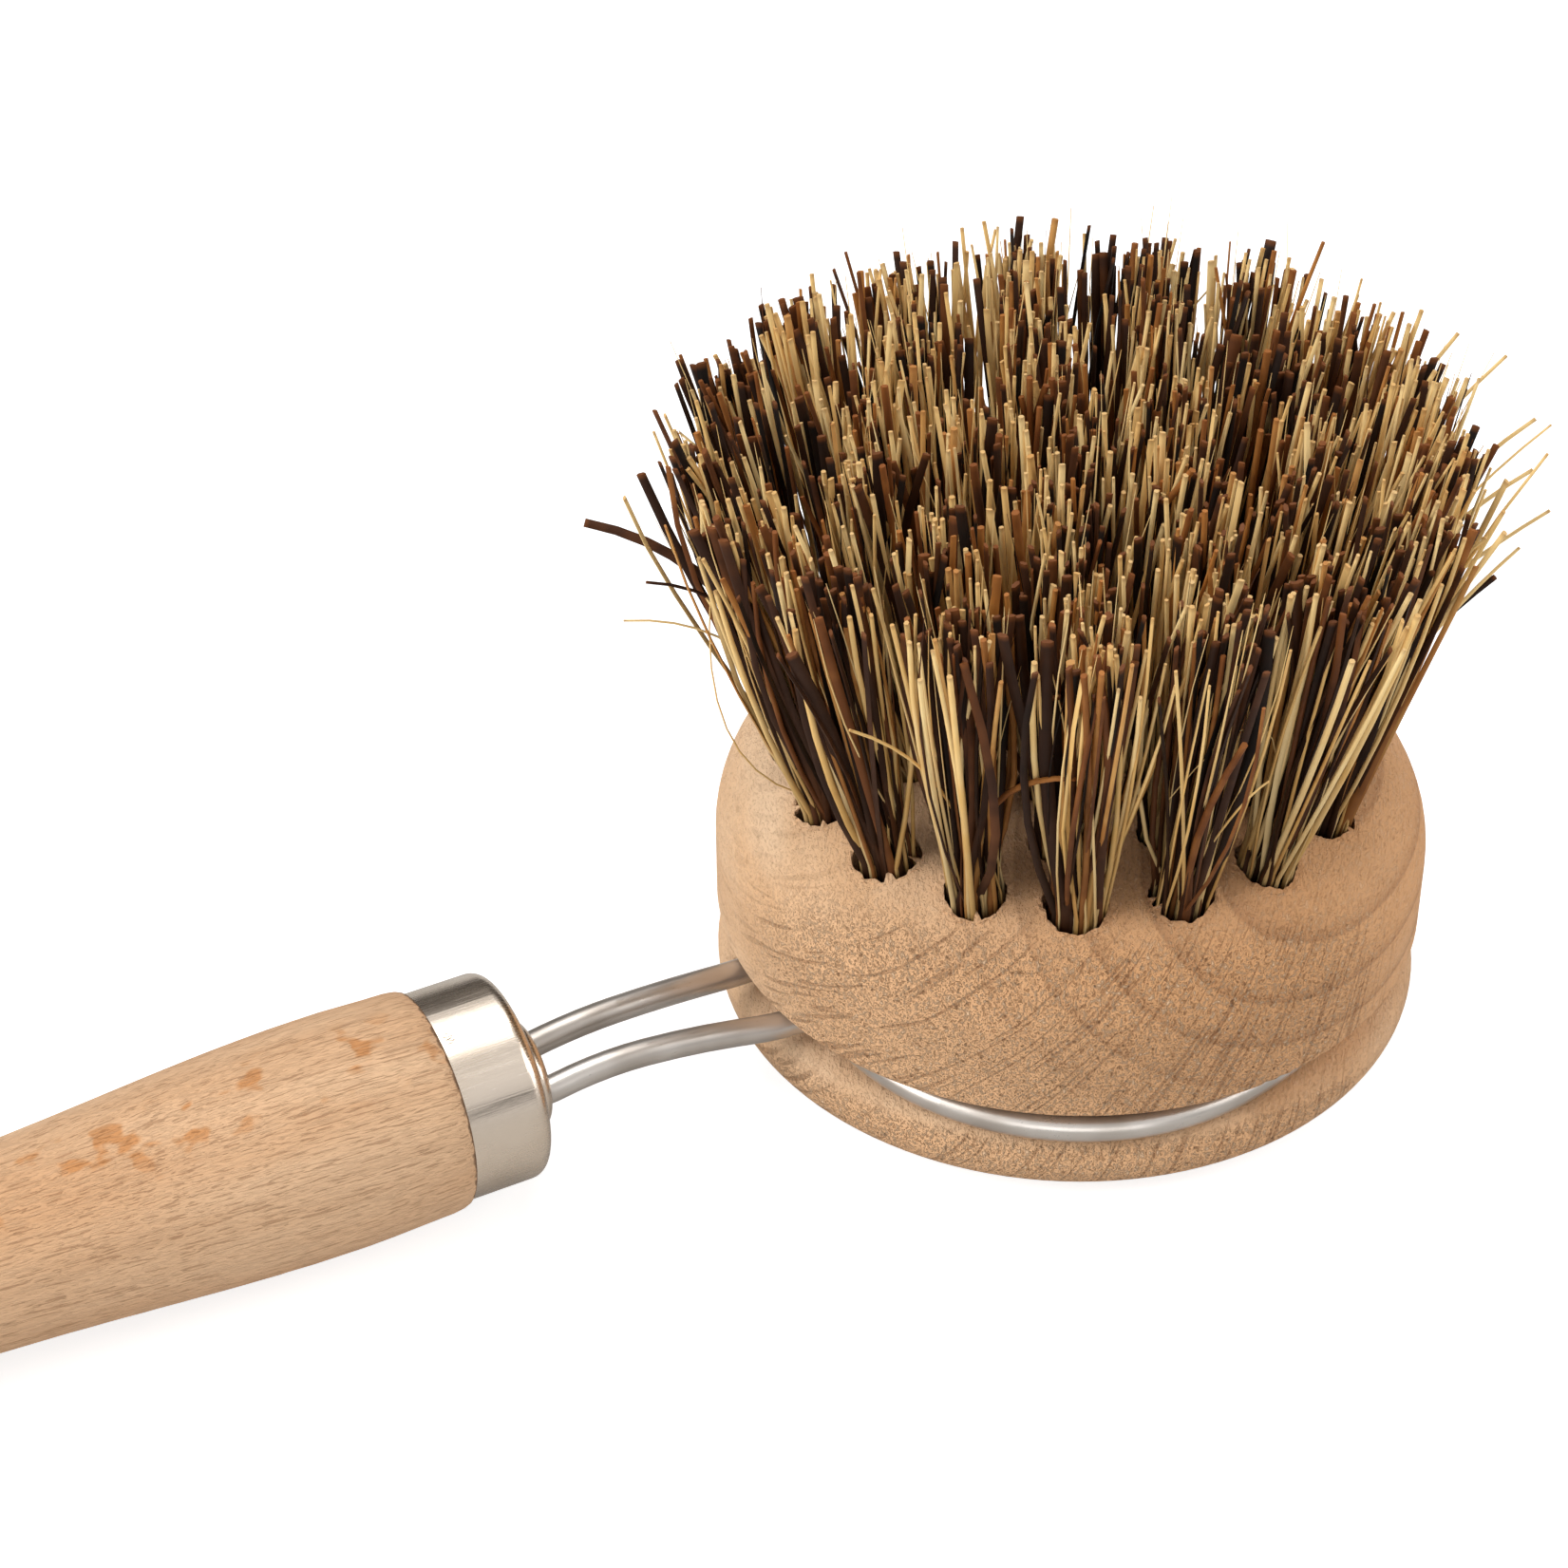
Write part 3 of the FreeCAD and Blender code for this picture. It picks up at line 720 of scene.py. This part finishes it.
def make_loose_fibres():
    """Fibres listed one by one on the left, the right and the front, and a few by chance all round."""
    left = [
        loose_fibre(8, (155, 22.5, 36), (153, 33.3, 38.1), 0.42, 0.78, flat=True),
        loose_fibre(8, (160, 22, 32.5), (162, 31.1, 33.5), 0.1, 0.1),
        loose_fibre(8, (158, 21, 34), (162, 29.5, 36.4), 0.15, 0.8),
        loose_fibre(9, (174, 29, 24), (165, 25, 40), 0.06, 0.2),
    ]
    right = [
        loose_fibre(16, (-28, 21.5, 27), (-27, 28.0, 33.0), 0.26, 0.9),
        loose_fibre(17, (-15, 23, 33), (-10, 34.3, 38.7), 0.12, 0.15),
        loose_fibre(17, (-17, 22.5, 33), (-18, 31.1, 38.4), 0.2, 0.12),
        loose_fibre(17, (-20, 23.5, 30), (-24, 31.5, 37.2), 0.17, 0.05),
        loose_fibre(17, (-12, 22, 34), (-14, 31.8, 41.0), 0.2, 0.12),
        loose_fibre(1, (-2, 22, 34), (-6, 31.5, 43.5), 0.17, 0.1),
        loose_fibre(16, (-30, 23, 29), (-26, 29.5, 35.0), 0.15, 0.08),
        loose_fibre(1, (2, 21.5, 35), (-1, 29.2, 44.4), 0.2, 0.15),
        loose_fibre(2, (24, 21, 36), (19, 24.9, 48.7), 0.2, 0.5),
    ]
    front = [
        loose_fibre(14, (-84, 23, 43), (-107, 23, 31.8), 0.05, 0.1),
        loose_fibre(11, (-140, 21.6, 32), (-122, 23.6, 34.2), 0.24, 0.55),
    ]
    others = []
    outer_count = tuft_ring_counts[-1]
    for number in range(1, outer_count + 1, 2):
        angle = math.degrees(first_tuft_angle) + 360 * (number - 1) / outer_count
        away = random.uniform(25, 29)
        height = random.uniform(34, 43)
        bend = (angle + random.uniform(-6, 6), random.uniform(20.5, 23), height * 0.85)
        tip = (angle + random.uniform(-14, 14), away, height)
        others.append(loose_fibre(number, bend, tip, random.uniform(0.06, 0.14), random.uniform(0.0, 0.3)))
    draw_bundle("loose_fibres", left + right + front + others)


make_loose_fibres()

for section in (round_section, flat_section):
    bpy.data.objects.remove(section)


# Torn wood round the holes; its reaches and lifts are in millimetres

rim_steps = 56
rim_points = 5
settling_rounds = 5                 # to bring a point of the rim onto the head's rounded shoulder
first_bite = 0.1
least_bite = 0.02
most_bite = 0.42
bite_change = 0.14
edge_lifts = (-0.1, 0.05)
splinter_odds = 0.05
splinter_reaches = (0.5, 1.0)
splinter_lifts = (0.0, 0.3)
collar_widths = (0.12, 0.5)
collar_swell = (0.0, 0.07)


def torn_rim(hole):
    """A ragged collar round one hole's mouth, whose teeth reach over the hole."""
    deselect_all()
    bpy.ops.mesh.primitive_torus_add(major_segments=rim_steps, minor_segments=rim_points)
    rim = bpy.context.object
    bite = first_bite
    for step in range(rim_steps):
        turn = 2 * math.pi * step / rim_steps
        away = hole.side * math.cos(turn) + hole.across * math.sin(turn)
        edge = hole.mouth + away * hole_radius
        for attempt in range(settling_rounds):
            past = max(0.0, edge.xy.length - shoulder_start)
            rise = math.sqrt(shoulder_radius ** 2 - past ** 2)
            edge = edge + hole.axis * ((face_level - shoulder_radius + rise - edge.z) / hole.axis.z)
        outward = edge.xy.normalized() * past
        normal = Vector((outward.x, outward.y, rise)) / shoulder_radius
        level = (away - normal * away.dot(normal)).normalized()
        bite = min(most_bite, max(least_bite, bite + random.uniform(-bite_change, bite_change)))
        tooth = bite * mm
        lift = random.uniform(*edge_lifts) * mm
        if random.random() < splinter_odds:
            tooth = random.uniform(*splinter_reaches) * mm
            lift = random.uniform(*splinter_lifts) * mm
        width = random.uniform(*collar_widths) * mm
        swell = random.uniform(*collar_swell) * mm
        profile = ((width, -0.06 * mm), (width * 0.4, swell), (-tooth, lift),
                   (-tooth * 0.5, lift - 0.3 * mm), (0.15 * mm, -0.6 * mm))
        for index, (reach, height) in enumerate(profile):
            rim.data.vertices[step * rim_points + index].co = edge + level * reach + normal * height
    return rim


def make_torn_rims():
    """The collars of all the holes as one piece, which turns with the head."""
    rims = join([torn_rim(hole) for hole in holes.values()], "torn_rims")
    bpy.ops.object.mode_set(mode="EDIT")
    bpy.ops.mesh.select_all(action="SELECT")
    bpy.ops.mesh.normals_make_consistent(inside=False)
    bpy.ops.object.mode_set(mode="OBJECT")
    rims.data.materials.clear()
    rims.data.materials.append(beech_head)
    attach(rims, "head")


make_torn_rims()


# Finishes of the CAD nodes

finishes = {"head_block": beech_head, "handle": beech_handle, "ferrule": nickel_ferrule,
            "wire_bow": stainless_wire, "tuft_anchors": steel_anchor}
for node, material in finishes.items():
    nodes[node].data.materials.clear()
    nodes[node].data.materials.append(material)


# Floor, light and camera

white = (1, 1, 1, 1)
floor_level = -1.3 * mm             # just below the handle, which reaches lower than the head
floor_size = 6.0
floor_grey = (0.66, 0.66, 0.66, 1.0)
floor_grey_in_metal = (0.46, 0.45, 0.43, 1.0)
floor_glow_near = 0.74
floor_glow_far = 1.0
floor_glow_in_metal = 0.1
world_light = 0.15
world_in_metal = 0.8
camera_right = Vector((0.887, -0.462, 0.0))
camera_ahead = Vector((0.462, 0.887, 0.0))


def make_floor():
    """A pale floor that keeps the shadow and is lifted to white for the camera."""
    deselect_all()
    bpy.ops.mesh.primitive_plane_add(size=floor_size, location=(0, 0, floor_level))
    floor = bpy.context.object
    floor.name = "floor"
    material, tree = new_material("pale_floor")
    paths = place(tree, "LightPath").outputs
    grey = blend_colours(tree, paths["Is Glossy Ray"], floor_grey, floor_grey_in_metal)
    matt = place(tree, "BsdfDiffuse", {"Color": grey})
    spread = place(tree, "VectorMath", {0: place(tree, "TexCoord").outputs["Object"]}, operation="LENGTH")
    glow_level = between(tree, spread.outputs["Value"], 0.3, 0.9, floor_glow_near, floor_glow_far)
    glow_seen = reckon(tree, "MULTIPLY", paths["Is Camera Ray"], glow_level)
    glow_mirrored = reckon(tree, "MULTIPLY", paths["Is Glossy Ray"], floor_glow_in_metal)
    strength = reckon(tree, "ADD", glow_seen, glow_mirrored)
    glow = place(tree, "Emission", {"Color": white, "Strength": strength})
    total = place(tree, "AddShader", {0: matt.outputs[0], 1: glow.outputs[0]})
    output = place(tree, "OutputMaterial")
    tree.links.new(total.outputs[0], output.inputs["Surface"])
    floor.data.materials.append(material)


def make_world():
    """White where the camera sees it, a little darker in the metal, and dim as a light."""
    world = bpy.data.worlds.new("studio")
    bpy.context.scene.world = world
    world.use_nodes = True
    tree = world.node_tree
    tree.nodes.clear()
    paths = place(tree, "LightPath").outputs
    seen = reckon(tree, "MAXIMUM", paths["Is Camera Ray"], paths["Is Transmission Ray"])
    mirrored = reckon(tree, "MULTIPLY", paths["Is Glossy Ray"], world_in_metal)
    strength = reckon(tree, "MAXIMUM", world_light, reckon(tree, "MAXIMUM", seen, mirrored))
    background = place(tree, "Background", {"Color": white, "Strength": strength})
    output = place(tree, "OutputWorld")
    tree.links.new(background.outputs[0], output.inputs["Surface"])


def make_softbox(name, position, aim, size, power):
    """A rectangular area lamp turned towards a point."""
    lamp = bpy.data.lights.new(name, "AREA")
    lamp.shape = "RECTANGLE"
    lamp.size, lamp.size_y = size
    lamp.energy = power
    softbox = bpy.data.objects.new(name, lamp)
    bpy.context.scene.collection.objects.link(softbox)
    softbox.location = position
    softbox.rotation_euler = (Vector(aim) - Vector(position)).to_track_quat("-Z", "Y").to_euler()


def make_dark_card(name, distance, lean, aside, width, low, high, grey):
    """A dark card across the line of sight, seen only in the metal's reflections.

    Its distance runs away from the camera, past the head; its upper edge leans nearer to the head.
    Its middle stands aside to the camera's right.
    """
    deselect_all()
    bpy.ops.mesh.primitive_plane_add(size=1.0)
    card = bpy.context.object
    card.name = name
    top_distance = distance - lean
    corners = ((-1, distance, low), (1, distance, low), (-1, top_distance, high), (1, top_distance, high))
    for vertex, (side, reach, height) in zip(card.data.vertices, corners):
        offset = aside + side * width / 2
        vertex.co = camera_right * offset + camera_ahead * reach + Vector((0, 0, height))
    material, tree = new_material(name)
    finish_material(tree, {"Base Color": (grey, grey * 0.9, grey * 0.8, 1.0), "Roughness": 0.9})
    card.data.materials.append(material)
    card.visible_camera = False
    card.visible_diffuse = False
    card.visible_shadow = False


make_floor()
make_world()
make_dark_card("far_card", distance=0.95, lean=0.3, aside=0.0, width=2.4, low=0.04, high=0.6, grey=0.1)
make_dark_card("near_card", distance=-0.9, lean=0.0, aside=0.0, width=0.5, low=-0.01, high=0.2, grey=0.05)
make_dark_card("side_card", distance=-0.9, lean=0.0, aside=1.05, width=0.9, low=0.2, high=0.4, grey=0.05)
make_softbox("softbox_left", position=(-0.78, 0.04, 0.56), aim=(-0.02, 0, 0.02), size=(0.7, 0.7), power=7.3)
make_softbox("softbox_right", position=(0.64, -0.39, 0.5), aim=(0, 0, 0.02), size=(0.6, 0.6), power=3.6)
make_softbox("softbox_top", position=(0.1, 0.2, 0.95), aim=(0, 0, 0.02), size=(0.6, 0.6), power=4.3)
make_softbox("softbox_front", position=(-0.4, -0.8, 0.35), aim=(0, 0, 0.02), size=(0.8, 0.5), power=2.1)

camera_data = bpy.data.cameras.new("camera")
camera_data.sensor_width = 36.0
camera_data.lens = 87.2
camera_data.clip_start = 0.01
camera_data.clip_end = 20.0
camera = bpy.data.objects.new("camera", camera_data)
bpy.context.scene.collection.objects.link(camera)
camera.location = (-0.11466, -0.17899, 0.17830)
camera.rotation_euler = Euler(tuple(math.radians(turn) for turn in (52.497, 0.361, -27.484)))
bpy.context.scene.camera = camera
bpy.context.scene.view_settings.view_transform = "Standard"
